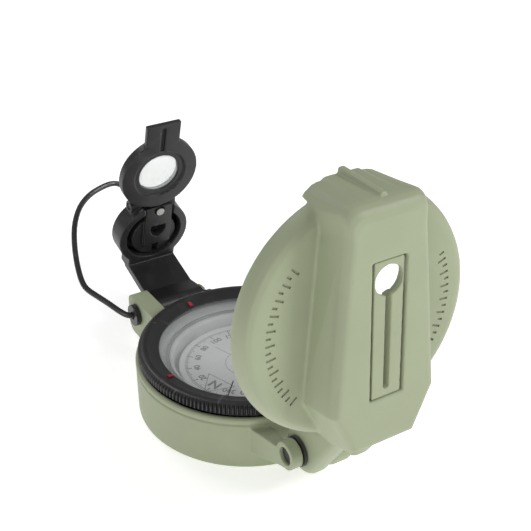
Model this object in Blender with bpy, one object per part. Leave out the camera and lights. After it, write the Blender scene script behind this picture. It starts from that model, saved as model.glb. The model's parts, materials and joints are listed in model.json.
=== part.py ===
"""Sighting compass: a folding pocket compass with a dial capsule, a turning bezel, a hinged
cover with a sighting slot, a hinged lens bracket with a tilting eyepiece, and a wire thumb loop.

Frame: metres, +Z up. The origin is the centre of the base's flat underside, on the dial's axis.
+Y is the sighting direction, from the lens bracket at the rear to the cover's hinge at the front.
The pieces stand as in use: cover open, lens bracket up, thumb loop swung out to the rear.
"""
import math

import bmesh
import bpy
from mathutils import Matrix, Vector

MM = 0.001

# ---- driving dimensions, in millimetres -----------------------------------------------------
# base
BASE_R = 27.0
BASE_FOOT_R = 26.9
BASE_TOP = 14.1
GROOVE_Z = 12.5
FLOOR = 2.6
BORE_R = 24.7
LEDGE_R = 25.9
LEDGE_Z = 12.9
PLATE_R = 20.0
PLATE_THICK = 0.9

# front hinge, which carries the cover
HINGE_Y = 35.5
HINGE_Z = 11.8
KNUCKLE_R = 3.3
INNER_KNUCKLE_R = 5.8
HINGE_BORE_R = 2.1
HINGE_PIN_R = 1.8
LUG_OUT = 11.8
LUG_IN = 9.1
WEB_ROOT = 13.2
ARM_OUT = 8.0
ARM_IN = 3.2
MIDDLE_HALF = 2.8

# cover, drawn closed over the base, then turned open about the front hinge
COVER_OPEN = 87.0
COVER_Z = 17.6
COVER_R = 26.9
COVER_SHOULDER_Z = 19.1
COVER_FACE_R = 24.6
COVER_FACE_Z = 22.4
COVER_WALL = 1.7
LIP_Z = 15.2
LIP_BORE_R = 26.75
HUMP_FACE_Z = 31.0
HUMP_ROOF = 1.7
SLOT_NEAR = 23.6
SLOT_HALF = 0.65
KEYHOLE_AT = 47.5
KEYHOLE_R = 3.2
WINDOW_HALF = 4.0
WINDOW_NEAR = 21.8
WINDOW_FAR = 52.0

# bezel and capsule
BEZEL_R = 26.3
BEZEL_VALLEY_R = 25.85
BEZEL_Z = 14.4
BEZEL_TOP = 17.1
BEZEL_LIP_R = 21.2
GLASS_R = 22.3
GLASS_Z = 14.9
GLASS_THICK = 0.9
KNURLS = 90
INDEX_R = 22.4
INDEX_Z = 16.68
CONE_SLOPE = 15.5
INDEX_TURNS = (279.5, 7.5)
CAPSULE_R = 24.3
WELL_R = 17.8
CAPSULE_TOP = 13.1
CARD_R = 16.6
CARD_Z = 9.8

# rear lugs, lens bracket and thumb loop
REAR_Y = -36.4
REAR_Z = 8.7
REAR_PIN_R = 1.0
REAR_BORE_R = 1.3
LEFT_LUG = (7.35, 12.3)
RIGHT_LUG = (-8.8, -7.35)
BRACKET_HALF = 7.0
ARM_KNEE = (-42.3, 10.6)
ARM_END = (-51.8, 13.9)
ARM_THICK = 2.4
BRACKET_TILT = 16.0
CUP_R = 10.2
CUP_AT = 9.6
CUP_FRONT = 0.7
CUP_BACK = 5.9
WELL_SIDE_R = 8.1
WELL_BACK = 4.6
INSERT_X = -1.3
INSERT_R = 6.6
STRIP_HALF = 3.9
STRIP_TOP = 18.8
RIVET_AT = 17.5
SHIELD_AT = 10.4
EYE_HINGE = (19.0, 4.0)
EYE_R = 10.75
EYE_AT = 30.9
EYE_FRONT = 0.3
EYE_BACK = 2.6
EYE_HOLE_R = 5.6
EYE_SEAT_R = 7.2
TAB_HALF = 4.75
TAB_TOP = 46.9
LOOP_TILT = 27.0
LOOP_WIRE_R = 0.8

ROUND = 96
SMALL_ROUND = 28


# ---- scene and materials --------------------------------------------------------------------
def clear_scene():
    for obj in list(bpy.data.objects):
        bpy.data.objects.remove(obj, do_unlink=True)


def material(name, colour, roughness, metallic=0.0, alpha=1.0):
    mat = bpy.data.materials.get(name) or bpy.data.materials.new(name)
    mat.use_nodes = True
    shader = mat.node_tree.nodes["Principled BSDF"]
    shader.inputs["Base Color"].default_value = (*colour, 1.0)
    shader.inputs["Roughness"].default_value = roughness
    shader.inputs["Metallic"].default_value = metallic
    shader.inputs["Alpha"].default_value = alpha
    return mat


GREEN = ("case_green", (0.41, 0.45, 0.32), 0.55)
BLACK = ("moulded_black", (0.035, 0.036, 0.038), 0.42)
WIRE = ("wire_black", (0.04, 0.04, 0.042), 0.35)
WHITE = ("capsule_white", (0.72, 0.73, 0.72), 0.45)
CARD = ("card_white", (0.80, 0.81, 0.80), 0.5)
STEEL = ("pin_steel", (0.30, 0.30, 0.31), 0.35, 1.0)
BRASS = ("jewel_brass", (0.72, 0.55, 0.27), 0.35, 1.0)
MAGNET = ("magnet_grey", (0.23, 0.23, 0.25), 0.4, 1.0)
GLASS = ("clear_window", (0.93, 0.95, 0.95), 0.05, 0.0, 0.25)
SEAL = ("seal_rubber", (0.05, 0.05, 0.05), 0.8)
RED = ("index_red", (0.55, 0.05, 0.09), 0.5)


# ---- mesh helpers ---------------------------------------------------------------------------
def finish(name, bm, look, smooth=35):
    """Turn a bmesh in millimetres into an object in metres with its material."""
    bmesh.ops.remove_doubles(bm, verts=bm.verts, dist=1e-4)
    bmesh.ops.recalc_face_normals(bm, faces=bm.faces)
    bmesh.ops.scale(bm, vec=(MM, MM, MM), verts=bm.verts)
    mesh = bpy.data.meshes.new(name)
    bm.to_mesh(mesh)
    bm.free()
    mesh.materials.append(material(*look))
    mesh.shade_smooth()
    mesh.set_sharp_from_angle(angle=math.radians(smooth))
    obj = bpy.data.objects.new(name, mesh)
    bpy.context.scene.collection.objects.link(obj)
    return obj


def ring_points(radius, count, z=0.0):
    turn = 2 * math.pi / count
    return [Vector((radius * math.cos(i * turn), radius * math.sin(i * turn), z)) for i in range(count)]


def turned(profile, count=ROUND, radius_at=None):
    """A closed ring: the profile's (radius, z) corners swept about Z."""
    bm = bmesh.new()
    loops = []
    for radius, z in profile:
        loop = []
        for i, point in enumerate(ring_points(1.0, count)):
            reach = radius_at(radius, i) if radius_at else radius
            loop.append(bm.verts.new((point.x * reach, point.y * reach, z)))
        loops.append(loop)
    for a, b in zip(loops, loops[1:] + loops[:1]):
        for i in range(count):
            j = (i + 1) % count
            bm.faces.new((a[i], a[j], b[j], b[i]))
    return bm


def turned_solid(profile, count=ROUND):
    """A solid without a bore: the outer profile's corners swept about Z, closed by two caps."""
    bm = bmesh.new()
    loops = [[bm.verts.new(p) for p in ring_points(radius, count, z)] for radius, z in profile]
    for a, b in zip(loops, loops[1:]):
        for i in range(count):
            j = (i + 1) % count
            bm.faces.new((a[i], a[j], b[j], b[i]))
    bm.faces.new(loops[0])
    bm.faces.new(loops[-1])
    return bm


def prism(outline, low, high, axis="x"):
    """An outline of (a, b) corners pushed from low to high along X or Z."""
    bm = bmesh.new()

    def place(corner, along):
        if axis == "x":
            return (along, corner[0], corner[1])
        return (corner[0], corner[1], along)

    rings = [[bm.verts.new(place(c, along)) for c in outline] for along in (low, high)]
    for i in range(len(outline)):
        j = (i + 1) % len(outline)
        bm.faces.new((rings[0][i], rings[0][j], rings[1][j], rings[1][i]))
    bm.faces.new(rings[0])
    bm.faces.new(rings[1])
    return bm


def rounded_prism(outline, low, high, radius):
    """A convex anticlockwise outline pushed along X, with its rims rounded."""
    def inset(depth):
        corners = [Vector(c) for c in outline]
        moved = []
        for before, here, after in zip(corners[-1:] + corners[:-1], corners, corners[1:] + corners[:1]):
            first, second = (here - before).normalized(), (after - here).normalized()
            inward = Vector((-first.y - second.y, first.x + second.x)) / (1.0 + first.dot(second))
            moved.append(here + inward * depth)
        return moved

    levels = []
    for turn in (0.0, 30.0, 60.0, 90.0):
        angle = math.radians(turn)
        levels.append((radius * (1 - math.cos(angle)), inset(radius * (1 - math.sin(angle)))))
    stations = [(low + step, ring) for step, ring in levels]
    stations += [(high - step, ring) for step, ring in levels[::-1]]
    bm = bmesh.new()
    rings = [[bm.verts.new((x, y, z)) for y, z in ring] for x, ring in stations]
    for a, b in zip(rings, rings[1:]):
        for i in range(len(outline)):
            j = (i + 1) % len(outline)
            bm.faces.new((a[i], a[j], b[j], b[i]))
    bm.faces.new(rings[0])
    bm.faces.new(rings[-1])
    return bm


def circle_points(centre, radius, count=SMALL_ROUND):
    turn = 2 * math.pi / count
    return [(centre[0] + radius * math.cos(i * turn), centre[1] + radius * math.sin(i * turn))
            for i in range(count)]


def hull_outline(points):
    """The convex outline round a set of 2-D points, anticlockwise."""
    points = sorted(set(points))

    def half(ordered):
        chain = []
        for p in ordered:
            while len(chain) > 1:
                a, b = chain[-2], chain[-1]
                if (b[0] - a[0]) * (p[1] - a[1]) - (b[1] - a[1]) * (p[0] - a[0]) > 1e-9:
                    break
                chain.pop()
            chain.append(p)
        return chain[:-1]

    return half(points) + half(points[::-1])


def bevelled(bm, width, segments=2, angle=35):
    edges = [e for e in bm.edges if len(e.link_faces) == 2
             and e.calc_face_angle(0.0) > math.radians(angle)]
    bmesh.ops.bevel(bm, geom=edges, offset=width, segments=segments, profile=0.5,
                    affect="EDGES", clamp_overlap=True)
    return bm


def cut_or_join(bm, other, operation):
    """One exact Boolean between two closed bmeshes; both are used up."""
    made = []
    for source in (bm, other):
        bmesh.ops.recalc_face_normals(source, faces=source.faces)
        mesh = bpy.data.meshes.new("boolean_step")
        source.to_mesh(mesh)
        source.free()
        obj = bpy.data.objects.new("boolean_step", mesh)
        bpy.context.scene.collection.objects.link(obj)
        made.append(obj)
    step = made[0].modifiers.new("step", "BOOLEAN")
    step.operation = operation
    step.solver = "EXACT"
    step.object = made[1]
    bpy.context.view_layer.update()
    evaluated = made[0].evaluated_get(bpy.context.evaluated_depsgraph_get())
    result = bmesh.new()
    result.from_mesh(evaluated.to_mesh())
    evaluated.to_mesh_clear()
    for obj in made:
        mesh = obj.data
        bpy.data.objects.remove(obj, do_unlink=True)
        bpy.data.meshes.remove(mesh)
    bmesh.ops.remove_doubles(result, verts=result.verts, dist=1e-4)
    bmesh.ops.dissolve_degenerate(result, edges=result.edges, dist=1e-4)
    return result


def joined(first, *others):
    for other in others:
        first = cut_or_join(first, other, "UNION")
    return first


def cut(first, *others):
    for other in others:
        first = cut_or_join(first, other, "DIFFERENCE")
    return first


def bore(centre, radius, low, high):
    return prism(circle_points(centre, radius), low, high)


# ---- base -----------------------------------------------------------------------------------
def rear_lug(low_x, high_x, top):
    """A block behind the base, with a rounded rear end."""
    corners = circle_points((-39.2, 4.0), 2.8) + circle_points((-39.7, top - 2.3), 2.3)
    corners += [(-21.5, 1.2), (-21.5, top)]
    return bevelled(prism(hull_outline(corners), low_x, high_x), 0.35, 1, 50)


def hinge_web(side):
    """The gusset under an outer hinge lug, wider where it leaves the base."""
    outline = hull_outline([(21.5, 4.0), (21.5, 11.5), (34.5, 12.5), (35.8, 8.55), (31.5, 7.1)])
    low_x, high_x = sorted((side * LUG_IN, side * WEB_ROOT))
    taper = [(side * LUG_OUT, 33.5), (side * LUG_OUT, 40.0), (side * 20.0, 40.0), (side * 20.0, 23.5),
             (side * WEB_ROOT, 23.5)]
    return cut(bevelled(prism(outline, low_x, high_x), 0.3, 1, 50), prism(taper, 0.0, 20.0, "z"))


def base_case():
    outer = [(BASE_FOOT_R - 0.6, 0.0), (BASE_FOOT_R, 0.6), (BASE_R - 0.05, GROOVE_Z - 0.5),
             (BASE_R - 0.45, GROOVE_Z - 0.1), (BASE_R, GROOVE_Z + 0.25), (BASE_R, BASE_TOP - 0.4),
             (BASE_R - 0.4, BASE_TOP)]
    body = turned_solid(outer)
    hinge = (HINGE_Y, HINGE_Z)
    middle = hull_outline(circle_points(hinge, INNER_KNUCKLE_R - 0.2) + [(21.5, 3.5), (21.5, 11.5)])
    for side in (1, -1):
        low_x, high_x = sorted((side * LUG_IN, side * LUG_OUT))
        body = joined(body, hinge_web(side), bevelled(bore(hinge, KNUCKLE_R, low_x, high_x), 0.3, 1, 50))
    body = joined(
        body,
        rounded_prism(middle, -MIDDLE_HALF, MIDDLE_HALF, 1.2),
        rear_lug(*LEFT_LUG, 12.6),
        rear_lug(*RIGHT_LUG, 9.6),
    )
    hollow = turned_solid([(BORE_R, FLOOR), (BORE_R, LEDGE_Z), (LEDGE_R, LEDGE_Z + 0.01),
                           (LEDGE_R, BASE_TOP + 3)])
    underside = turned_solid([(PLATE_R + 0.3, -1.0), (PLATE_R + 0.3, PLATE_THICK + 0.3)])
    rear = (REAR_Y, REAR_Z)
    return cut(body, hollow, underside, bore(hinge, HINGE_BORE_R, -20, 20),
               bore(rear, REAR_BORE_R, -20, 20))


def build_base():
    finish("base_case", base_case(), GREEN)
    plate = turned_solid([(PLATE_R - 0.25, 0.0), (PLATE_R, 0.25), (PLATE_R, PLATE_THICK)], 64)
    finish("base_plate", plate, GREEN)
    pin = bore((HINGE_Y, HINGE_Z), HINGE_PIN_R, -LUG_OUT + 0.7, LUG_OUT - 0.7)
    finish("cover_hinge_pin", bevelled(pin, 0.2, 1, 60), STEEL)
    for side, name in ((1, "hinge_washer_left"), (-1, "hinge_washer_right")):
        middle = side * (LUG_IN + ARM_OUT) / 2
        washer = bore((HINGE_Y, HINGE_Z), KNUCKLE_R + 0.25, middle - 0.25, middle + 0.25)
        hole = bore((HINGE_Y, HINGE_Z), HINGE_BORE_R, middle - 1, middle + 1)
        finish(name, cut(washer, hole), BLACK)
    pin = bore((REAR_Y, REAR_Z), REAR_PIN_R, RIGHT_LUG[0] + 0.3, LEFT_LUG[1] - 0.3)
    finish("bracket_hinge_pin", pin, STEEL)
    spring = turned([(24.95, LEDGE_Z + 0.3), (25.6, LEDGE_Z + 0.3), (25.6, LEDGE_Z + 0.65),
                     (24.95, LEDGE_Z + 0.65)], 64)
    finish("bezel_spring", spring, STEEL)


# ---- capsule and dial -----------------------------------------------------------------------
def build_capsule():
    floor_top = FLOOR + 0.3 + 1.6
    cup = cut(
        turned_solid([(CAPSULE_R, FLOOR + 0.3), (CAPSULE_R, CAPSULE_TOP - 0.3),
                      (CAPSULE_R - 0.3, CAPSULE_TOP)], 72),
        turned_solid([(WELL_R - 0.6, floor_top), (WELL_R, floor_top + 0.6), (WELL_R, CAPSULE_TOP - 0.5),
                      (WELL_R + 0.5, CAPSULE_TOP), (WELL_R + 0.5, CAPSULE_TOP + 2)], 72),
    )
    finish("capsule_cup", cup, WHITE)
    seal_low = CAPSULE_TOP + 0.1
    seal = turned([(WELL_R + 1.0, seal_low), (WELL_R + 1.9, seal_low), (WELL_R + 1.9, seal_low + 0.35),
                   (WELL_R + 1.0, seal_low + 0.35)], 64)
    finish("capsule_seal", seal, SEAL)
    window_low = seal_low + 0.45
    window = turned_solid([(22.0, window_low), (22.2, window_low + 0.2), (22.2, window_low + 0.65),
                           (22.0, window_low + 0.85)], 64)
    finish("capsule_window", window, GLASS)
    pivot = turned_solid([(1.2, floor_top + 0.1), (1.2, floor_top + 0.9), (0.45, floor_top + 1.1),
                          (0.45, CARD_Z - 0.9), (0.08, CARD_Z - 0.2)], 16)
    finish("dial_pivot", pivot, STEEL)


def build_dial():
    card = cut(
        turned_solid([(CARD_R - 0.2, CARD_Z), (CARD_R, CARD_Z + 0.2), (CARD_R, CARD_Z + 0.7),
                      (CARD_R - 0.2, CARD_Z + 0.9)], 72),
        turned_solid([(CARD_R - 0.9, CARD_Z + 0.6), (CARD_R - 0.9, CARD_Z + 2)], 72),
        turned_solid([(1.9, CARD_Z - 1), (1.9, CARD_Z + 2)], 24),
    )
    finish("dial_card", card, CARD)
    jewel = cut(
        turned_solid([(1.1, CARD_Z - 0.9), (1.6, CARD_Z - 0.6), (1.6, CARD_Z + 0.9), (1.2, CARD_Z + 1.3)], 24),
        turned_solid([(0.8, CARD_Z - 2), (0.8, CARD_Z - 0.5), (0.2, CARD_Z + 0.2)], 24),
    )
    finish("dial_jewel", jewel, BRASS)
    half_long, half_wide = 10.0, 2.0
    for side, name in ((1, "dial_magnet_right"), (-1, "dial_magnet_left")):
        centre = side * 5.0
        outline = [(centre - half_wide, -half_long), (centre + half_wide, -half_long),
                   (centre + half_wide, half_long), (centre - half_wide, half_long)]
        bar = prism(outline, CARD_Z - 1.6, CARD_Z - 0.25, "z")
        finish(name, bevelled(bar, 0.2, 1), MAGNET)


# ---- bezel ----------------------------------------------------------------------------------
def build_bezel():
    knurl = BEZEL_R - BEZEL_VALLEY_R

    def reach(radius, i):
        return radius - knurl if radius == BEZEL_R and i % 2 else radius

    profile = [(GLASS_R + 0.3, BEZEL_Z), (BEZEL_VALLEY_R - 0.3, BEZEL_Z), (BEZEL_R, BEZEL_Z + 0.25),
               (BEZEL_R, BEZEL_TOP - 0.6), (BEZEL_VALLEY_R - 0.35, BEZEL_TOP - 0.12),
               (BEZEL_VALLEY_R - 0.8, BEZEL_TOP), (24.3, BEZEL_TOP), (23.9, BEZEL_TOP - 0.2),
               (BEZEL_LIP_R, 16.15), (BEZEL_LIP_R, 16.05), (GLASS_R + 0.3, 16.05)]
    finish("bezel_ring", turned(profile, 2 * KNURLS, reach), BLACK, 40)
    glass = turned_solid([(GLASS_R - 0.15, GLASS_Z), (GLASS_R, GLASS_Z + 0.15),
                          (GLASS_R, GLASS_Z + GLASS_THICK - 0.15), (GLASS_R - 0.15, GLASS_Z + GLASS_THICK)], 72)
    finish("bezel_glass", glass, GLASS)
    for turn, name in zip(INDEX_TURNS, ("index_mark_left", "index_mark_right")):
        mark = bmesh.new()
        facing = Matrix.Rotation(math.radians(turn), 4, "Z") @ Matrix.Translation((INDEX_R, 0.0, INDEX_Z))
        lean = Matrix.Rotation(math.radians(-CONE_SLOPE), 4, "Y")
        bmesh.ops.create_cube(mark, size=1.0, matrix=facing @ lean @ Matrix.Diagonal((1.3, 0.9, 0.3, 1.0)))
        finish(name, mark, RED)


# ---- cover ----------------------------------------------------------------------------------
def hump_outline(end_half, nose_half, shoulder, waist, tip_half, tip, bulge, corner):
    """Half-widths against the distance from the hinge, mirrored into a closed outline in XY."""
    half = [(end_half, nose_half), shoulder, waist, (tip_half, tip - corner - 3.0)]
    for i in range(5):
        angle = math.radians(90 * i / 4)
        half.append((tip_half - corner + corner * math.cos(angle), tip - corner + corner * math.sin(angle)))
    half += [(4.6, tip), (3.8, tip + bulge)]
    both = half + [(-x, d) for x, d in reversed(half)]
    return [(x, HINGE_Y - d) for x, d in both]


def lofted(levels):
    """A solid through outlines with equal corner counts, each at its own height."""
    bm = bmesh.new()
    rings = [[bm.verts.new((x, y, z)) for x, y in outline] for z, outline in levels]
    for a, b in zip(rings, rings[1:]):
        for i in range(len(a)):
            j = (i + 1) % len(a)
            bm.faces.new((a[i], a[j], b[j], b[i]))
    bm.faces.new(rings[0])
    bm.faces.new(rings[-1])
    bmesh.ops.triangulate(bm, faces=[f for f in bm.faces if len(f.verts) > 3])
    return bm


def hump_solid(inset=0.0, low=COVER_Z, high=HUMP_FACE_Z):
    """The raised box over the cover's slot; inset makes the hollow inside it."""
    def level(end_half, nose, shoulder, waist, tip_half, tip, bulge, corner, pull=0.0, tip_pull=0.0):
        gap = inset + pull
        return hump_outline(end_half - gap * 0.8, nose + gap,
                            (shoulder[0] - gap, shoulder[1] + gap * 0.3),
                            (waist[0] - gap, waist[1]), tip_half - gap, tip - gap - tip_pull,
                            max(bulge - pull, 0.02), corner)

    face = (7.8, 10.2, (12.5, 20.3), (9.8, 52.0), 9.3, 63.5, 0.08, 2.6)
    foot = (8.4, 9.6, (13.9, 20.9), (10.2, 54.0), 9.8, 63.3, 0.35, 4.0)
    rim = (8.8, 9.4, (14.6, 21.0), (10.6, 54.5), 9.9, 63.2, 0.55, 5.0)
    levels = [(low, level(*rim)), (COVER_FACE_Z, level(*foot))]
    if inset:
        return lofted(levels + [(high - 2.2, level(*face, 0.2)), (high, level(*face, 1.2))])
    crown = 3.0
    levels.append((high - crown, level(*face)))
    for turn in (22.5, 45.0, 67.5, 90.0):
        angle = math.radians(turn)
        pull = crown * (1 - math.cos(angle))
        levels.append((high - crown * (1 - math.sin(angle)), level(*face, pull * 0.55, pull * 0.5)))
    return lofted(levels)


def keyhole(low, high):
    """The sighting slot with its round upper end, along the middle of the cover."""
    far = KEYHOLE_AT - math.sqrt(KEYHOLE_R ** 2 - SLOT_HALF ** 2)
    outline = []
    for i in range(7):
        angle = math.radians(180 + 180 * i / 6)
        outline.append((SLOT_HALF * math.cos(angle), SLOT_NEAR + SLOT_HALF + SLOT_HALF * math.sin(angle)))
    start = math.asin(SLOT_HALF / KEYHOLE_R)
    steps = 28
    outline.append((SLOT_HALF, far))
    for i in range(1, steps):
        angle = -math.pi / 2 + start + (2 * math.pi - 2 * start) * i / steps
        outline.append((KEYHOLE_R * math.cos(angle), KEYHOLE_AT + KEYHOLE_R * math.sin(angle)))
    outline.append((-SLOT_HALF, far))
    return prism([(x, HINGE_Y - d) for x, d in outline], low, high, "z")


def box(half_x, near, far, low, high):
    corners = [(-half_x, HINGE_Y - near), (half_x, HINGE_Y - near), (half_x, HINGE_Y - far),
               (-half_x, HINGE_Y - far)]
    return prism(corners, low, high, "z")


def cover_shell():
    disc = turned_solid([(COVER_R - 0.3, COVER_Z), (COVER_R, COVER_Z + 0.3), (COVER_R, COVER_SHOULDER_Z),
                         (COVER_R - 0.35, COVER_SHOULDER_Z + 1.3), (COVER_R - 1.0, COVER_FACE_Z - 0.8),
                         (COVER_FACE_R + 0.3, COVER_FACE_Z - 0.15), (COVER_FACE_R - 0.6, COVER_FACE_Z)])
    arm = hull_outline(circle_points((HINGE_Y, HINGE_Z), INNER_KNUCKLE_R)
                       + [(27.4, COVER_Z + 0.1), (23.8, COVER_FACE_Z), (23.8, HUMP_FACE_Z - 3.5)])
    shell = joined(disc, hump_solid(low=LIP_Z),
                   rounded_prism(arm, ARM_IN, ARM_OUT, 1.5),
                   rounded_prism(arm, -ARM_OUT, -ARM_IN, 1.5),
                   bead())
    inner_r = COVER_R - COVER_WALL
    hollow = turned_solid([(inner_r, COVER_Z - 1), (inner_r, COVER_SHOULDER_Z), (COVER_FACE_R - 1.6, 20.7)])
    window = box(WINDOW_HALF, WINDOW_NEAR, WINDOW_FAR, HUMP_FACE_Z - 4, HUMP_FACE_Z + 1)
    under = turned_solid([(LIP_BORE_R, LIP_Z - 2), (LIP_BORE_R, COVER_Z)])
    return cut(shell, under, hollow, hump_solid(COVER_WALL, COVER_Z - 0.5, HUMP_FACE_Z - HUMP_ROOF), window,
               bore((HINGE_Y, HINGE_Z), HINGE_BORE_R, -20, 20))


def bead():
    """The small raised rib down the middle of the hump's end wall."""
    near, far = HINGE_Y - 60.6, HINGE_Y - 65.0
    outline = [(-0.8, near), (0.8, near), (0.8, far + 0.3), (0.45, far), (-0.45, far), (-0.8, far + 0.3)]
    top = [(x, y if i < 2 else y + 0.7) for i, (x, y) in enumerate(outline)]
    return lofted([(LIP_Z, outline), (HUMP_FACE_Z - 2.6, top)])


def sight_insert():
    """A thin plate round the keyhole, with a thicker rib along the slot and a flange behind."""
    plate = box(WINDOW_HALF - 0.6, WINDOW_NEAR + 0.25, WINDOW_FAR - 0.25, HUMP_FACE_Z - 1.2, HUMP_FACE_Z - 0.3)
    rib = box(2.4, WINDOW_NEAR + 0.6, KEYHOLE_AT - KEYHOLE_R - 0.6, HUMP_FACE_Z - 3.4, HUMP_FACE_Z - 0.9)
    sides = box(WINDOW_HALF - 0.6, WINDOW_NEAR + 0.25, WINDOW_FAR - 0.25, HUMP_FACE_Z - 2.6, HUMP_FACE_Z - 1.0)
    opening = (WINDOW_HALF - 1.6, WINDOW_NEAR + 1.2, WINDOW_FAR - 1.0, HUMP_FACE_Z - 5, HUMP_FACE_Z)
    sides = cut(sides, box(*opening))
    flange = box(WINDOW_HALF + 1.4, WINDOW_NEAR - 1.6, WINDOW_FAR + 1.6, HUMP_FACE_Z - 3.0, HUMP_FACE_Z - 2.0)
    flange = cut(flange, box(*opening))
    relief = prism(circle_points((0.0, HINGE_Y - KEYHOLE_AT), KEYHOLE_R + 1.0), HUMP_FACE_Z - 6,
                   HUMP_FACE_Z - 1.25, "z")
    return cut(joined(plate, rib, sides, flange), keyhole(HUMP_FACE_Z - 6, HUMP_FACE_Z + 2), relief)


def build_cover():
    """Both cover pieces hang from an empty on the hinge's axis, which turns them open."""
    hinge = Vector((0.0, HINGE_Y, HINGE_Z)) * MM
    swing = bpy.data.objects.new("cover_hinge_axis", None)
    bpy.context.scene.collection.objects.link(swing)
    swing.location = hinge
    swing.rotation_euler = (math.radians(-COVER_OPEN), 0.0, 0.0)
    for name, bm in (("cover_shell", cover_shell()), ("sight_insert", sight_insert())):
        piece = finish(name, bm, GREEN)
        piece.data.transform(Matrix.Translation(-hinge))
        piece.parent = swing


# ---- lens bracket and eyepiece --------------------------------------------------------------
TILT = math.radians(BRACKET_TILT)
UP = Vector((math.sin(TILT), math.cos(TILT)))
FRONT = Vector((math.cos(TILT), -math.sin(TILT)))


def on_bracket(along, behind):
    """(y, z) of a point a distance up the bracket's front plane and behind it."""
    spot = Vector(ARM_END) + UP * along - FRONT * behind
    return (spot.x, spot.y)


def tilted_disc(along, radius, front, back, count=48, side=0.0):
    """A cylinder whose axis is square to the bracket's front plane."""
    bm = bmesh.new()
    rings = []
    for behind in (front, back):
        ring = []
        for p in ring_points(radius, count):
            y, z = on_bracket(along + p.y, behind)
            ring.append(bm.verts.new((side + p.x, y, z)))
        rings.append(ring)
    for i in range(count):
        j = (i + 1) % count
        bm.faces.new((rings[0][i], rings[0][j], rings[1][j], rings[1][i]))
    bm.faces.new(rings[0])
    bm.faces.new(rings[1])
    return bm


def tilted_block(low_x, high_x, near, far, front, back):
    corners = [on_bracket(near, front), on_bracket(far, front), on_bracket(far, back), on_bracket(near, back)]
    return prism(corners, low_x, high_x)


def lens_bracket():
    knee, end = Vector(ARM_KNEE), Vector(ARM_END)
    along = (end - knee).normalized()
    down = Vector((along.y, -along.x)) * -ARM_THICK
    if down.y > 0:
        down = -down
    tail = end + along * 3.2
    arm = prism([tuple(knee), tuple(tail), tuple(tail + down), tuple(knee + down)], -BRACKET_HALF, BRACKET_HALF)
    hinge = hull_outline(circle_points((REAR_Y, REAR_Z), 2.7) + [tuple(knee), tuple(knee + down)])
    neck = bevelled(tilted_block(-BRACKET_HALF, BRACKET_HALF, -1.6, 6.0, CUP_FRONT, CUP_BACK - 0.3), 0.3, 1)
    cup = bevelled(tilted_disc(CUP_AT, CUP_R, CUP_FRONT, CUP_BACK, 64), 0.4, 2)
    body = joined(cup, neck, bevelled(arm, 0.25, 1), prism(hinge, -BRACKET_HALF, BRACKET_HALF))
    pivot = on_bracket(*EYE_HINGE)
    ear = hull_outline(circle_points(pivot, 1.65) + [on_bracket(13.0, 1.6), on_bracket(13.0, 5.6)])
    for low_x, high_x in ((3.5, 6.6), (-6.6, -3.5)):
        body = joined(body, bevelled(prism(ear, low_x, high_x), 0.25, 1, 50))
    well = tilted_disc(CUP_AT, WELL_SIDE_R, -2.0, WELL_BACK, 64)
    seat = tilted_block(INSERT_X - STRIP_HALF - 0.3, INSERT_X + STRIP_HALF + 0.3, CUP_AT,
                        STRIP_TOP + 0.3, -2.0, 2.2)
    gap = tilted_block(-3.5, 3.5, 16.7, 24.0, 2.1, 12.0)
    crown = tilted_block(-3.5, 3.5, STRIP_TOP + 0.2, 24.0, -2.0, 12.0)
    return cut(body, gap, crown, well, seat, bore((REAR_Y, REAR_Z), REAR_BORE_R, -20, 20),
               bore(pivot, 1.0, -20, 20))


def shield_cut(along, front, back):
    """A shield-shaped opening: flat on top, pointed below."""
    shape = [(-2.1, 1.8), (2.1, 1.8), (2.3, 0.3), (1.4, -1.5), (0.0, -2.4), (-1.4, -1.5), (-2.3, 0.3)]
    bm = bmesh.new()
    rings = []
    for behind in (front, back):
        spots = [(INSERT_X + x, *on_bracket(along + s, behind)) for x, s in shape]
        rings.append([bm.verts.new(p) for p in spots])
    for i in range(len(shape)):
        j = (i + 1) % len(shape)
        bm.faces.new((rings[0][i], rings[0][j], rings[1][j], rings[1][i]))
    bm.faces.new(rings[0])
    bm.faces.new(rings[1])
    return bm


def bracket_disc():
    """The insert in the cup: a round plate with a broad strip rising to the rivet."""
    low_x, high_x = INSERT_X - STRIP_HALF, INSERT_X + STRIP_HALF
    plate = bevelled(tilted_disc(CUP_AT - 1.2, INSERT_R, 1.9, WELL_BACK - 0.3, 48, INSERT_X / 2), 0.25, 1, 50)
    strip = bevelled(tilted_block(low_x, high_x, CUP_AT - 4.0, STRIP_TOP, 1.0, 1.95), 0.25, 1, 50)
    stem = tilted_block(low_x + 1.0, high_x - 1.0, CUP_AT - 3.0, CUP_AT + 6.0, 1.5, 3.0)
    slot = tilted_block(INSERT_X - 0.9, INSERT_X + 0.9, 0.0, 4.6, -1.0, 3.2)
    return cut(joined(plate, strip, stem), shield_cut(SHIELD_AT, -1.0, 3.8), slot,
               tilted_disc(RIVET_AT, 1.45, -1.0, 3.0, 20, INSERT_X))


def build_bracket():
    finish("lens_bracket", lens_bracket(), BLACK)
    finish("bracket_disc", bracket_disc(), BLACK)
    rivet = bevelled(tilted_disc(RIVET_AT, 1.15, 0.4, 1.9, 20, INSERT_X), 0.3, 2)
    finish("bracket_rivet", rivet, STEEL)
    pin = bore(on_bracket(*EYE_HINGE), 0.7, -6.4, 6.4)
    finish("eyepiece_hinge_pin", pin, STEEL)


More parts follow.
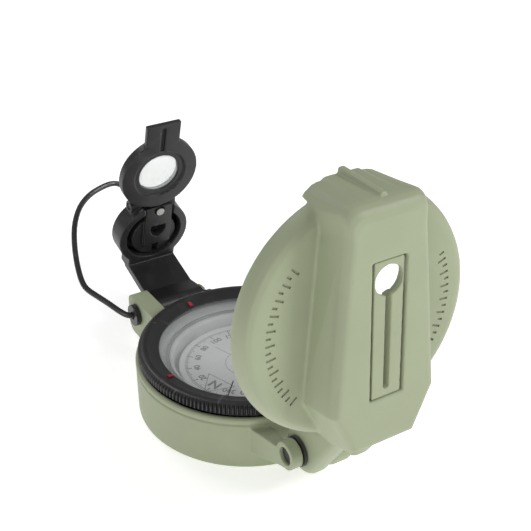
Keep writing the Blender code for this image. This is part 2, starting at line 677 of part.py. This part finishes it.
def eyepiece():
    pivot = on_bracket(*EYE_HINGE)
    ring = bevelled(tilted_disc(EYE_AT, EYE_R, EYE_FRONT, EYE_BACK, 64), 0.4, 2)
    tab = tilted_block(-TAB_HALF, TAB_HALF, EYE_AT + 7.9, TAB_TOP, EYE_FRONT, EYE_FRONT + 1.3)
    tab = bevelled(tab, 0.25, 1)
    knuckle = hull_outline(circle_points(pivot, 1.75) + [on_bracket(22.4, EYE_FRONT + 0.5),
                                                         on_bracket(23.4, EYE_BACK - 0.1)])
    groove = tilted_block(-0.6, 0.6, EYE_AT + 7.6, TAB_TOP - 1.2, -1.0, EYE_FRONT + 0.8)
    return cut(joined(ring, tab, prism(knuckle, -3.2, 3.2)), groove,
               tilted_disc(EYE_AT, EYE_SEAT_R, -1.0, EYE_FRONT + 0.6, 48),
               tilted_disc(EYE_AT, EYE_HOLE_R, -2.0, 6.0, 48),
               tilted_disc(EYE_AT, EYE_SEAT_R, EYE_FRONT + 1.1, 6.0, 48), bore(pivot, 1.0, -20, 20))


def build_eyepiece():
    finish("eyepiece_ring", eyepiece(), BLACK)
    lens = bmesh.new()
    rings = []
    for radius, behind in ((4.2, 0.7), (5.2, 1.0), (5.2, 1.65), (6.9, 1.65), (6.9, 1.9)):
        ring = []
        for p in ring_points(radius, 40):
            y, z = on_bracket(EYE_AT + p.y, behind)
            ring.append(lens.verts.new((p.x, y, z)))
        rings.append(ring)
    for a, b in zip(rings, rings[1:]):
        for i in range(40):
            j = (i + 1) % 40
            lens.faces.new((a[i], a[j], b[j], b[i]))
    lens.faces.new(rings[0])
    lens.faces.new(rings[-1])
    finish("magnifier_lens", lens, GLASS)
    retainer = cut(tilted_disc(EYE_AT, 6.95, 2.15, EYE_BACK - 0.05, 40), tilted_disc(EYE_AT, 5.7, 1.0, 6.0, 40))
    finish("lens_retainer", retainer, BLACK)


# ---- thumb loop -----------------------------------------------------------------------------
def loop_route():
    """Corners of the wire's centre line: a flat bow on the left, then a leg that drops behind the
    lens bracket and returns below its arm to the right lug."""
    tilt = math.radians(LOOP_TILT)
    away = Vector((0.0, -math.cos(tilt), math.sin(tilt)))
    bow = [(12.7, 0.0), (13.9, 0.05), (15.3, 0.9), (16.6, 2.7), (18.2, 5.6), (20.0, 8.6), (21.7, 11.6),
           (22.1, 14.2), (21.6, 18.0), (20.4, 23.0), (18.6, 28.4), (16.2, 33.6), (12.8, 38.3), (8.6, 41.5),
           (4.0, 43.2)]
    leg = [(0.0, -38.9, 19.7), (-3.0, -38.6, 17.8), (-5.2, -36.1, 13.3), (-5.8, -32.1, 7.8), (-5.6, -27.1, 2.8),
           (-5.4, -21.0, -2.0), (-6.4, -14.8, -5.2), (-8.7, -10.1, -5.9), (-10.0, -6.0, -4.6),
           (-10.3, -2.6, -2.0),
           (-10.0, -0.6, -0.4), (-9.3, 0.0, 0.0), (-8.7, 0.0, 0.0)]
    return [Vector((x, 0.0, 0.0)) + away * reach for x, reach in bow] + [Vector(spot) for spot in leg]


def build_loop():
    """The wire and the boss it enters turn together about the rear pivots."""
    hinge = Vector((0.0, REAR_Y, REAR_Z))
    curve = bpy.data.curves.new("thumb_loop", "CURVE")
    curve.dimensions = "3D"
    spline = curve.splines.new("POLY")
    route = smooth_route(loop_route(), 3)
    spline.points.add(len(route) - 1)
    for point, spot in zip(spline.points, route):
        point.co = (*(spot * MM), 1.0)
    curve.bevel_depth = LOOP_WIRE_R * MM
    curve.bevel_resolution = 3
    curve.use_fill_caps = True
    curve.materials.append(material(*WIRE))
    loop = bpy.data.objects.new("thumb_loop", curve)
    loop.location = hinge * MM
    bpy.context.scene.collection.objects.link(loop)
    boss = bevelled(bore((REAR_Y, REAR_Z), 2.9, LEFT_LUG[1] + 0.3, LEFT_LUG[1] + 1.5), 0.25, 1, 50)
    boss = cut(boss, bore((REAR_Y, REAR_Z), LOOP_WIRE_R + 0.3, LEFT_LUG[1], LEFT_LUG[1] + 2.0))
    finish("loop_boss", boss, WIRE)


def smooth_route(points, steps):
    """Points on a Catmull-Rom curve through the given ones."""
    ends = [points[0] * 2 - points[1]] + points + [points[-1] * 2 - points[-2]]
    out = []
    for a, b, c, d in zip(ends, ends[1:], ends[2:], ends[3:]):
        for i in range(steps):
            t = i / steps
            out.append(0.5 * (2 * b + (c - a) * t + (2 * a - 5 * b + 4 * c - d) * t ** 2
                              + (3 * b - a - 3 * c + d) * t ** 3))
    return out + [points[-1]]


def main():
    clear_scene()
    build_base()
    build_capsule()
    build_dial()
    build_bezel()
    build_cover()
    build_bracket()
    build_eyepiece()
    build_loop()


main()
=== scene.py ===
"""Sighting compass: the looks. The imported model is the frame, and every piece here rides on it."""
import json
import math

import bmesh
import bpy
from mathutils import Matrix, Vector


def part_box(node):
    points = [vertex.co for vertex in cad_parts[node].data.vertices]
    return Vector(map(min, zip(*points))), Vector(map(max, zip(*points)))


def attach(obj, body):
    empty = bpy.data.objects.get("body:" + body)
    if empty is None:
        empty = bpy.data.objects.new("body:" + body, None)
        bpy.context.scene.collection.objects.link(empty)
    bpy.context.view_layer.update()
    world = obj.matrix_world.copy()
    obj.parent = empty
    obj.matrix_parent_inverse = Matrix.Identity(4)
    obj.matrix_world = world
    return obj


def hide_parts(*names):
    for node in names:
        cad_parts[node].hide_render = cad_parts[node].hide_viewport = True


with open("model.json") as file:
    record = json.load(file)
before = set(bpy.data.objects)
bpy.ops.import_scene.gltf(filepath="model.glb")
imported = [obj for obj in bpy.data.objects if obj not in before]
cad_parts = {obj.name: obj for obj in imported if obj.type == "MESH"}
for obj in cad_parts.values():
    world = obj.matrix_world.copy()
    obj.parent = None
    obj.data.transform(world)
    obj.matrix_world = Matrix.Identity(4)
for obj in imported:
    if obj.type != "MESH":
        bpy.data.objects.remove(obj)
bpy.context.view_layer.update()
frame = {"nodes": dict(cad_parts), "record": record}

MM = 0.001
NODES = frame["nodes"]
JOINTS = {joint["name"]: joint for joint in frame["record"]["behaviour"]["joints"]}

# ---- places in metres, most from the frame --------------------------------------------------
COVER_AXIS = Vector(JOINTS["cover_fold"]["pos_m"])
COVER_OPEN = math.radians(max(JOINTS["cover_fold"]["range_deg"]))
BEZEL_LOW, BEZEL_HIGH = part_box("bezel_ring")
CARD_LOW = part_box("dial_card")[0]
GLASS_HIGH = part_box("bezel_glass")[1]
# the middle of the object, which the lights face, and how far the floor lies under it
LIT_POINT = Vector((0.0, 0.0, 0.03))
FLOOR_GAP = 0.0002

# ---- sizes, in millimetres and degrees ------------------------------------------------------
# remeshed mouldings
WELD_GAP = 0.002
KEPT_FACES = 0.35

# strokes sunk into the disc of the cover, measured with the cover shut
COVER_FACE_Z = 22.4
MARK_INNER_R = 19.9
MARK_OUTER_R = 22.0
MARK_SHORTER = 0.9
MARK_WIDTH = 0.5
MARK_DEPTH = 0.35
MARK_STEP = 4.2
MARK_SHARP = 42
# each arc of strokes: the angle of its side, and its first and last stroke from there
MARK_ARCS = ((0.0, -44.0, 40.0), (180.0, -40.0, 24.0))

# bezel
KNURLS = 165
KNURL_DEPTH = 0.62
# how far each step of one rib stands up, as a share of the depth
RIB_SHAPE = (1.0, 1.0, 0.45, 0.0, 0.0, 0.45)
GLASS_EDGE_R = 21.2
FLAT_INNER_R = 24.35
BEZEL_LINE_TURN = 47.5
BEZEL_LINE_R = 18.3
BEZEL_LINE_SIZE = (6.2, 0.28, 0.03)

# dial card and its print
CARD_THICK = 0.6
CARD_PRINT_R = 15.2
PRINT_THICK = 0.03
PRINT_LIFT = 0.02
# how far print is thickened, as a share of its height
PRINT_WEIGHT = 0.03
DEGREES_PER_STROKE = 2
STROKE_LONG, STROKE_MIDDLE, STROKE_SHORT = 1.7, 1.2, 0.75
STROKE_BOLD, STROKE_FINE = 0.28, 0.17
DEGREES_PER_NUMBER = 20
NUMBER_R = 12.2
NUMBER_HEIGHT = 2.1
NORTH_TURN = 19.0
NORTH_R = 11.6
NORTH_HEIGHT = 3.7
ARROW_FOOT_R = 9.4
ARROW_TIP_R = 15.6
ARROW_HALF = 4.1
ARROW_LINE = 0.24
CROSS_INNER_R = 4.0
CROSS_OUTER_R = 10.4
CROSS_LINE = 0.22
CIRCLE_R = 5.2
CIRCLE_LINE = 0.16
CIRCLE_STEPS = 96


# ---- node materials -------------------------------------------------------------------------
class Look:
    """A Principled material with small helpers for adding procedural detail."""

    def __init__(self, name, colour, roughness, metallic=0.0):
        self.mat = bpy.data.materials.new(name)
        self.mat.use_nodes = True
        self.tree = self.mat.node_tree
        self.shader = self.tree.nodes["Principled BSDF"]
        self.set("Base Color", (*colour, 1.0))
        self.set("Roughness", roughness)
        self.set("Metallic", metallic)
        self.colour = colour
        self.roughness = roughness
        self.coords = self.tree.nodes.new("ShaderNodeTexCoord").outputs["Object"]

    def set(self, socket, value):
        self.shader.inputs[socket].default_value = value

    def link(self, source, target):
        self.tree.links.new(source, target)

    def noise(self, scale, detail=4.0, rough=0.55, stretch=None):
        node = self.tree.nodes.new("ShaderNodeTexNoise")
        node.inputs["Scale"].default_value = scale
        node.inputs["Detail"].default_value = detail
        node.inputs["Roughness"].default_value = rough
        if stretch:
            mapping = self.tree.nodes.new("ShaderNodeMapping")
            mapping.inputs["Scale"].default_value = stretch
            self.link(self.coords, mapping.inputs["Vector"])
            self.link(mapping.outputs["Vector"], node.inputs["Vector"])
        else:
            self.link(self.coords, node.inputs["Vector"])
        return node.outputs["Fac"]

    def span(self, source, low, high, to_low, to_high):
        node = self.tree.nodes.new("ShaderNodeMapRange")
        node.inputs["From Min"].default_value = low
        node.inputs["From Max"].default_value = high
        node.inputs["To Min"].default_value = to_low
        node.inputs["To Max"].default_value = to_high
        self.link(source, node.inputs["Value"])
        return node.outputs["Result"]

    def blend(self, factor, first, second):
        node = self.tree.nodes.new("ShaderNodeMix")
        node.data_type = "RGBA"
        self.link(factor, node.inputs["Factor"])
        for socket, value in ((node.inputs["A"], first), (node.inputs["B"], second)):
            if isinstance(value, tuple):
                socket.default_value = (*value, 1.0)
            else:
                self.link(value, socket)
        return node.outputs["Result"]

    def corners(self, low, high):
        """Near 1 on outside corners of a dense mesh and 0 on flats."""
        node = self.tree.nodes.new("ShaderNodeNewGeometry")
        return self.span(node.outputs["Pointiness"], low, high, 0.0, 1.0)

    def bump(self, height, distance, strength=1.0):
        node = self.tree.nodes.new("ShaderNodeBump")
        node.inputs["Strength"].default_value = strength
        node.inputs["Distance"].default_value = distance
        self.link(height, node.inputs["Height"])
        self.link(node.outputs["Normal"], self.shader.inputs["Normal"])


def tint(colour, amount):
    return tuple(min(1.0, c * amount) for c in colour)


def painted_green():
    """Satin olive paint on a moulded case: slow mottling, small dark specks and a fine orange peel."""
    look = Look("case_green", (0.36, 0.40, 0.262), 0.5)
    slow = look.span(look.noise(70.0, 3.0), 0.3, 0.7, 0.0, 1.0)
    fine = look.span(look.noise(1600.0, 2.0), 0.25, 0.75, 0.0, 1.0)
    base = look.blend(slow, tint(look.colour, 0.965), tint(look.colour, 1.03))
    specks = look.span(look.noise(900.0, 2.0, 0.7), 0.66, 0.74, 0.0, 0.35)
    base = look.blend(specks, base, tint(look.colour, 0.86))
    look.link(base, look.shader.inputs["Base Color"])
    look.link(look.span(fine, 0.0, 1.0, 0.44, 0.56), look.shader.inputs["Roughness"])
    look.bump(look.noise(2600.0, 2.0), 0.00002, 0.5)
    look.set("Specular IOR Level", 0.42)
    return look.mat


def moulded_black(name="moulded_black", shade=0.018, rough=0.40):
    """Dark satin plastic with a fine moulded grain, faint scuffs, and painted highlights that lighten its
    outside corners.
    """
    look = Look(name, (shade, shade, shade * 1.04), rough)
    scuff = look.span(look.noise(240.0, 5.0, 0.7, (1.0, 0.35, 1.6)), 0.5, 0.75, 0.0, 1.0)
    base = look.blend(scuff, look.colour, tint(look.colour, 1.9))
    # painted highlight: outside corners are lightened to stand for the light that rounded edges catch
    base = look.blend(look.corners(0.54, 0.66), base, tint(look.colour, 5.0))
    look.link(base, look.shader.inputs["Base Color"])
    look.link(look.span(scuff, 0.0, 1.0, rough - 0.05, rough + 0.12), look.shader.inputs["Roughness"])
    look.bump(look.noise(3200.0, 2.0), 0.00003, 0.6)
    look.set("Specular IOR Level", 0.5)
    return look.mat


def coated_wire():
    """Black coating on the loop's wire, drawn out along it and rubbed in places."""
    look = Look("wire_black", (0.02, 0.02, 0.021), 0.34)
    rub = look.span(look.noise(420.0, 4.0, 0.65), 0.56, 0.72, 0.0, 1.0)
    look.link(look.blend(rub, look.colour, (0.06, 0.06, 0.06)), look.shader.inputs["Base Color"])
    look.link(look.span(rub, 0.0, 1.0, 0.3, 0.48), look.shader.inputs["Roughness"])
    look.bump(look.noise(2400.0, 2.0), 0.00002, 0.5)
    return look.mat


def capsule_white():
    """White plastic of the capsule, clouded as it is behind liquid."""
    look = Look("capsule_white", (0.70, 0.72, 0.72), 0.35)
    cloud = look.span(look.noise(160.0, 3.0), 0.35, 0.7, 0.0, 1.0)
    dull = (0.54, 0.57, 0.57)
    look.link(look.blend(cloud, look.colour, dull), look.shader.inputs["Base Color"])
    look.link(look.span(cloud, 0.0, 1.0, 0.28, 0.4), look.shader.inputs["Roughness"])
    look.bump(look.noise(1800.0, 2.0), 0.00001, 0.4)
    return look.mat


def printed_card():
    """Matt white card with a paper grain."""
    look = Look("card_white", (0.88, 0.90, 0.90), 0.5)
    grain = look.span(look.noise(1400.0, 4.0, 0.7), 0.3, 0.7, 0.0, 1.0)
    look.link(look.blend(grain, look.colour, tint(look.colour, 0.95)), look.shader.inputs["Base Color"])
    look.link(look.span(grain, 0.0, 1.0, 0.44, 0.56), look.shader.inputs["Roughness"])
    look.bump(grain, 0.00001, 0.5)
    return look.mat


def plain_metal(name, colour, rough, turned=False):
    """Bare metal with fine lines, drawn out along z or, when turned, along x."""
    look = Look(name, colour, rough, 1.0)
    lines = look.noise(900.0, 3.0, 0.6, (0.15, 1.0, 1.0) if turned else (1.0, 1.0, 0.2))
    wear = look.span(lines, 0.35, 0.65, 0.0, 1.0)
    look.link(look.blend(wear, tint(colour, 0.8), tint(colour, 1.1)), look.shader.inputs["Base Color"])
    look.link(look.span(wear, 0.0, 1.0, rough - 0.06, rough + 0.1), look.shader.inputs["Roughness"])
    look.bump(lines, 0.00001, 0.35)
    return look.mat


def clear(name, alpha, tone=(0.92, 0.95, 0.95), rough=0.03):
    """A clear moulded window: mostly see-through, its tone laid thinly over what lies behind as a painted
    reflection of the room, patchy with fine wiping marks.
    """
    look = Look(name, tone, rough)
    # painted reflection: the tone at low alpha stands for the room mirrored in the glass; this noise
    # varies it and the roughness in wiping marks
    wipes_and_sheen = look.span(look.noise(90.0, 3.0), 0.35, 0.7, 0.0, 1.0)
    look.link(look.span(wipes_and_sheen, 0.0, 1.0, rough, rough + 0.06), look.shader.inputs["Roughness"])
    look.link(look.span(wipes_and_sheen, 0.0, 1.0, alpha * 0.85, alpha * 1.2), look.shader.inputs["Alpha"])
    look.set("Specular IOR Level", 0.9)
    look.mat.surface_render_method = "BLENDED"
    return look.mat


def rubber():
    """Dull black rubber of the capsule's seal."""
    look = Look("seal_rubber", (0.03, 0.03, 0.03), 0.75)
    grain = look.noise(1500.0, 3.0)
    look.link(look.span(grain, 0.3, 0.7, 0.68, 0.85), look.shader.inputs["Roughness"])
    look.bump(grain, 0.00002, 0.5)
    return look.mat


def ink(name, colour):
    """Printing ink or enamel, a little patchy."""
    look = Look(name, colour, 0.55)
    patch = look.span(look.noise(1100.0, 3.0), 0.3, 0.7, 0.0, 1.0)
    look.link(look.blend(patch, tint(colour, 0.85), tint(colour, 1.25)), look.shader.inputs["Base Color"])
    return look.mat


LOOKS = {
    "case_green": painted_green(),
    "moulded_black": moulded_black(),
    "wire_black": coated_wire(),
    "capsule_white": capsule_white(),
    "card_white": printed_card(),
    "pin_steel": plain_metal("pin_steel", (0.07, 0.07, 0.07), 0.42, True),
    "jewel_brass": plain_metal("jewel_brass", (0.66, 0.47, 0.22), 0.3),
    "magnet_grey": plain_metal("magnet_grey", (0.17, 0.17, 0.18), 0.42),
    # the window's white tone at low alpha is a painted reflection of the white room, seen as a haze over
    # the dial
    "clear_window": clear("clear_window", 0.13),
    "seal_rubber": rubber(),
    "index_red": ink("index_red", (0.42, 0.02, 0.06)),
}
INK = ink("dial_ink", (0.035, 0.045, 0.045))
PALE_INK = ink("dial_pale_ink", (0.26, 0.29, 0.29))
LENS = clear("magnifier_glass", 0.30, (0.72, 0.76, 0.74), 0.02)
RIVET = plain_metal("rivet_steel", (0.48, 0.48, 0.47), 0.28)
OWN_LOOKS = {"magnifier_lens": LENS, "bracket_rivet": RIVET}
SLOT_OF = {entry["node"]: entry["material_slot"] for entry in frame["record"]["subparts"]}


def dress_cad_nodes():
    """Give every node of the frame its material."""
    for name, obj in NODES.items():
        obj.data.materials.clear()
        obj.data.materials.append(OWN_LOOKS.get(name, LOOKS[SLOT_OF[name]]))


# ---- piece helpers --------------------------------------------------------------------------
def add_piece(name, mesh, body, mat, smooth=40):
    """Put a mesh in the scene as a piece of one body, with edges above the angle left sharp."""
    mesh.materials.clear()
    mesh.materials.append(mat)
    mesh.shade_smooth()
    if smooth:
        mesh.set_sharp_from_angle(angle=math.radians(smooth))
    obj = bpy.data.objects.new(name, mesh)
    bpy.context.scene.collection.objects.link(obj)
    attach(obj, body)
    return obj


def mesh_from(bm, name, scale=MM):
    """A mesh in metres from a bmesh drawn in millimetres, unless another scale is given."""
    bmesh.ops.recalc_face_normals(bm, faces=bm.faces)
    bmesh.ops.scale(bm, vec=(scale,) * 3, verts=bm.verts)
    mesh = bpy.data.meshes.new(name)
    bm.to_mesh(mesh)
    bm.free()
    return mesh


def applied(obj):
    """Work the object's modifiers into its mesh."""
    bpy.context.view_layer.update()
    evaluated = obj.evaluated_get(bpy.context.evaluated_depsgraph_get())
    mesh = bpy.data.meshes.new_from_object(evaluated)
    obj.modifiers.clear()
    obj.data = mesh


def moulded(node, body, voxel, rounds):
    """A finer copy of a CAD node: its edges rounded as a moulding's are, by remeshing and easing."""
    mesh = NODES[node].data.copy()
    obj = bpy.data.objects.new(node + "_moulded", mesh)
    bpy.context.scene.collection.objects.link(obj)
    weld = obj.modifiers.new("weld", "WELD")
    weld.merge_threshold = WELD_GAP * MM
    remesh = obj.modifiers.new("remesh", "REMESH")
    remesh.mode = "VOXEL"
    remesh.voxel_size = voxel * MM * 1.0
    ease = obj.modifiers.new("ease", "SMOOTH")
    ease.factor = 0.5
    ease.iterations = rounds
    thin = obj.modifiers.new("thin", "DECIMATE")
    thin.ratio = KEPT_FACES
    applied(obj)
    obj.data.materials.clear()
    obj.data.materials.append(LOOKS[SLOT_OF[node]])
    obj.data.shade_smooth()
    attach(obj, body)
    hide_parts(node)
    return obj


def block(bm, size, place):
    """Add a box of the given size, centred on the place."""
    bmesh.ops.create_cube(bm, size=1.0, matrix=place @ Matrix.Diagonal((*size, 1.0)))


def join_rings(bm, rings):
    """Join rings of vertices one to the next, and the last to the first."""
    for a, b in zip(rings, rings[1:] + rings[:1]):
        for i in range(len(a)):
            j = (i + 1) % len(a)
            bm.faces.new((a[i], a[j], b[j], b[i]))


# ---- cover ----------------------------------------------------------------------------------
def cover_marks():
    """Graduations sunk into the disc on both sides of the box: long and short strokes in turn."""
    bm = bmesh.new()
    for side, first, last in MARK_ARCS:
        count = int((last - first) / MARK_STEP)
        for i in range(count + 1):
            turn = math.radians(side + first + i * MARK_STEP)
            inner = MARK_INNER_R if i % 2 == 0 else MARK_INNER_R + MARK_SHORTER
            middle = (inner + MARK_OUTER_R) / 2
            place = Matrix.Rotation(turn, 4, "Z") @ Matrix.Translation((middle, 0, COVER_FACE_Z))
            block(bm, (MARK_OUTER_R - inner, MARK_WIDTH, MARK_DEPTH * 2), place)
    mesh = mesh_from(bm, "cover_marks")
    turn_open = Matrix.Translation(COVER_AXIS) @ Matrix.Rotation(-COVER_OPEN, 4, "X")
    mesh.transform(turn_open @ Matrix.Translation(-COVER_AXIS))
    return mesh


def make_cover():
    """The shell with its sunk strokes, and the insert with the keyhole."""
    shell = moulded("cover_shell", "cover", 0.26, 4)
    cutter = bpy.data.objects.new("cutter", cover_marks())
    bpy.context.scene.collection.objects.link(cutter)
    cut = shell.modifiers.new("marks", "BOOLEAN")
    cut.operation = "DIFFERENCE"
    cut.solver = "MANIFOLD"
    cut.object = cutter
    applied(shell)
    bpy.data.objects.remove(cutter)
    shell.data.shade_smooth()
    shell.data.set_sharp_from_angle(angle=math.radians(MARK_SHARP))
    moulded("sight_insert", "cover", 0.16, 2)


# ---- bezel ----------------------------------------------------------------------------------
def bezel_profile():
    """The section, from the foot round the outside and over the top: radius, height, depth of the ribs."""
    low, top = BEZEL_LOW.z / MM, BEZEL_HIGH.z / MM
    reach = BEZEL_HIGH.x / MM
    flat, lip = FLAT_INNER_R, GLASS_EDGE_R
    return [
        (lip + 1.0, low, 0.0),
        (reach - 0.75, low, 0.0),
        (reach - 0.5, low + 0.05, 0.0),
        (reach - 0.22, low + 0.2, 0.6),
        (reach, low + 0.42, 1.0),
        (reach, top - 0.85, 1.0),
        (reach - 0.16, top - 0.62, 1.0),
        (reach - 0.5, top - 0.3, 0.6),
        (reach - 0.86, top - 0.1, 0.0),
        (reach - 1.15, top - 0.02, 0.0),
        (reach - 1.4, top, 0.0),
        (flat, top, 0.0),
        (flat - 0.25, top - 0.03, 0.0),
        (flat - 0.45, top - 0.12, 0.0),
        (flat - 0.65, top - 0.26, 0.0),
        (lip + 0.3, top - 0.88, 0.0),
        (lip + 0.08, top - 0.93, 0.0),
        (lip, top - 0.99, 0.0),
        (lip + 0.15, top - 1.05, 0.0),
        (lip + 1.0, top - 1.05, 0.0),
    ]


def make_bezel():
    """The knurled ring, whose ribs die out in the top chamfer, and the line on its glass."""
    bm = bmesh.new()
    total = KNURLS * len(RIB_SHAPE)
    rings = []
    for radius, z, ribbed in bezel_profile():
        ring = []
        for i in range(total):
            turn = 2 * math.pi * i / total
            r = radius - KNURL_DEPTH * ribbed * (1.0 - RIB_SHAPE[i % len(RIB_SHAPE)])
            ring.append(bm.verts.new((r * math.cos(turn), r * math.sin(turn), z)))
        rings.append(ring)
    join_rings(bm, rings)
    knurled = add_piece("bezel_knurled", mesh_from(bm, "bezel_knurled"), "bezel", LOOKS["moulded_black"],
                        30)
    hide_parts("bezel_ring")
    line = bmesh.new()
    turn = Matrix.Rotation(math.radians(BEZEL_LINE_TURN), 4, "Z")
    height = GLASS_HIGH.z / MM + PRINT_LIFT
    block(line, BEZEL_LINE_SIZE, turn @ Matrix.Translation((BEZEL_LINE_R, 0, height)))
    add_piece("bezel_line", mesh_from(line, "bezel_line"), "bezel", INK)


# ---- dial -----------------------------------------------------------------------------------
def text_mesh(words, height, place):
    """Raised print of the words, centred on the place."""
    curve = bpy.data.curves.new("dial_text", "FONT")
    curve.body = words
    curve.size = height
    curve.align_x = "CENTER"
    curve.align_y = "CENTER"
    curve.extrude = PRINT_THICK / 2
    curve.offset = height * PRINT_WEIGHT
    curve.resolution_u = 3
    holder = bpy.data.objects.new("dial_text", curve)
    bpy.context.scene.collection.objects.link(holder)
    bpy.context.view_layer.update()
    evaluated = holder.evaluated_get(bpy.context.evaluated_depsgraph_get())
    mesh = bpy.data.meshes.new_from_object(evaluated)
    bpy.data.objects.remove(holder)
    mesh.transform(place)
    return mesh


def stroke(bm, start, end, width):
    """A straight printed line between two points."""
    along = end - start
    turn = math.atan2(along.y, along.x)
    place = Matrix.Translation((start + end) / 2) @ Matrix.Rotation(turn, 4, "Z")
    block(bm, (along.length, width, PRINT_THICK), place)


def circle_line(bm, radius, width, z):
    """A thin printed circle."""
    outer, top = radius + width, z + PRINT_THICK
    rings = []
    for r, height in ((radius, z), (outer, z), (outer, top), (radius, top)):
        turns = [2 * math.pi * i / CIRCLE_STEPS for i in range(CIRCLE_STEPS)]
        rings.append([bm.verts.new((r * math.cos(turn), r * math.sin(turn), height)) for turn in turns])
    join_rings(bm, rings)


def edge_strokes(bm, face):
    """Strokes round the card's edge: every tenth is bold and long, and every other fifth middling."""
    for i in range(360 // DEGREES_PER_STROKE):
        bold = i % 10 == 0
        length = STROKE_LONG if bold else (STROKE_MIDDLE if i % 5 == 0 else STROKE_SHORT)
        turn = Matrix.Rotation(math.radians(DEGREES_PER_STROKE * i + NORTH_TURN), 4, "Z")
        place = turn @ Matrix.Translation((CARD_PRINT_R - length / 2, 0, face))
        block(bm, (length, STROKE_BOLD if bold else STROKE_FINE, PRINT_THICK), place)


def read_from_centre(turn, radius, face):
    """A place for words on the card: at the angle and radius, with their tops toward the rim."""
    return (Matrix.Rotation(math.radians(turn), 4, "Z") @ Matrix.Translation((radius, 0, face))
            @ Matrix.Rotation(math.radians(-90), 4, "Z"))


def make_dial():
    """Printed scale: strokes round the edge, numbers, the N in its arrow, two lines and a circle."""
    face = CARD_LOW.z / MM + CARD_THICK + PRINT_LIFT
    dark = bmesh.new()
    edge_strokes(dark, face)
    for number in range(DEGREES_PER_NUMBER, 360, DEGREES_PER_NUMBER):
        place = read_from_centre(NORTH_TURN - number, NUMBER_R, face)
        dark.from_mesh(text_mesh(str(number), NUMBER_HEIGHT, place))
    dark.from_mesh(text_mesh("N", NORTH_HEIGHT, read_from_centre(NORTH_TURN, NORTH_R, face)))
    add_piece("dial_print", mesh_from(dark, "dial_print"), "dial", INK, 0)

    pale = bmesh.new()
    outward = Matrix.Rotation(math.radians(NORTH_TURN), 4, "Z")
    tip = Vector((ARROW_TIP_R, 0.0, face))
    corners = [Vector((ARROW_FOOT_R, -ARROW_HALF, face)), Vector((ARROW_FOOT_R, ARROW_HALF, face)), tip]
    for a, b in zip(corners, corners[1:] + corners[:1]):
        stroke(pale, outward @ a, outward @ b, ARROW_LINE)
    for side in (90.0, -90.0):
        across = Matrix.Rotation(math.radians(NORTH_TURN + side), 4, "Z")
        near, far = Vector((CROSS_INNER_R, 0, face)), Vector((CROSS_OUTER_R, 0, face))
        stroke(pale, across @ near, across @ far, CROSS_LINE)
    circle_line(pale, CIRCLE_R, CIRCLE_LINE, face)
    add_piece("dial_fine_print", mesh_from(pale, "dial_fine_print"), "dial", PALE_INK, 0)


# ---- the rest of the moulded pieces ---------------------------------------------------------
def make_mouldings():
    """Fine copies of the other moulded nodes: voxel size in millimetres and rounds of easing."""
    moulded("base_case", "base", 0.20, 3)
    moulded("lens_bracket", "bracket", 0.16, 5)
    moulded("bracket_disc", "bracket", 0.12, 3)
    moulded("eyepiece_ring", "eyepiece", 0.16, 5)
    moulded("capsule_cup", "base", 0.26, 4)


# ---- floor, light and camera ----------------------------------------------------------------
def make_stage():
    """A white floor that glows a little, so that it stays white in the picture."""
    bm = bmesh.new()
    bmesh.ops.create_grid(bm, x_segments=1, y_segments=1, size=3.0)
    mesh = mesh_from(bm, "floor", 1.0)
    look = Look("floor_paper", (0.93, 0.93, 0.93), 0.9)
    look.set("Emission Color", (1.0, 1.0, 1.0, 1.0))
    look.set("Emission Strength", 0.55)
    look.link(look.span(look.noise(30.0), 0.3, 0.7, 0.88, 0.95), look.shader.inputs["Roughness"])
    mesh.materials.append(look.mat)
    floor = bpy.data.objects.new("floor", mesh)
    floor.location.z = -FLOOR_GAP
    bpy.context.scene.collection.objects.link(floor)


def area_light(name, place, size, power):
    """A round white light that faces the middle of the object."""
    light = bpy.data.lights.new(name, "AREA")
    light.shape = "DISK"
    light.size = size
    light.energy = power
    holder = bpy.data.objects.new(name, light)
    holder.location = place
    holder.rotation_mode = "QUATERNION"
    holder.rotation_quaternion = (LIT_POINT - Vector(place)).to_track_quat("-Z", "Y")
    bpy.context.scene.collection.objects.link(holder)


def make_light():
    """A white room, a key from the right, a weaker fill from the left and one from behind."""
    world = bpy.data.worlds.new("studio")
    world.use_nodes = True
    background = world.node_tree.nodes["Background"]
    background.inputs["Color"].default_value = (1.0, 1.0, 1.0, 1.0)
    background.inputs["Strength"].default_value = 0.33
    scene = bpy.context.scene
    scene.world = world
    scene.view_settings.view_transform = "Standard"
    scene.view_settings.look = "None"
    area_light("key", (-0.40, 0.42, 0.44), 0.20, 2.0)
    area_light("fill", (0.50, 0.42, 0.22), 0.30, 0.65)
    area_light("rear", (0.10, -0.45, 0.55), 0.30, 0.9)


def make_camera():
    """The picture's view: above the front and to the left of the cover."""
    camera = bpy.data.cameras.new("camera")
    camera.sensor_width = 36.0
    camera.lens = 69.12
    camera.clip_start = 0.01
    camera.clip_end = 20.0
    holder = bpy.data.objects.new("camera", camera)
    azimuth, elevation = math.radians(148.32), math.radians(29.99)
    back = Vector((math.sin(azimuth) * math.cos(elevation), -math.cos(azimuth) * math.cos(elevation),
                   math.sin(elevation)))
    holder.location = (0.1036, 0.17652, 0.15591)
    holder.rotation_mode = "QUATERNION"
    holder.rotation_quaternion = (-back).to_track_quat("-Z", "Y")
    bpy.context.scene.collection.objects.link(holder)
    bpy.context.scene.camera = holder


dress_cad_nodes()
make_cover()
make_bezel()
make_dial()
make_mouldings()
make_stage()
make_light()
make_camera()
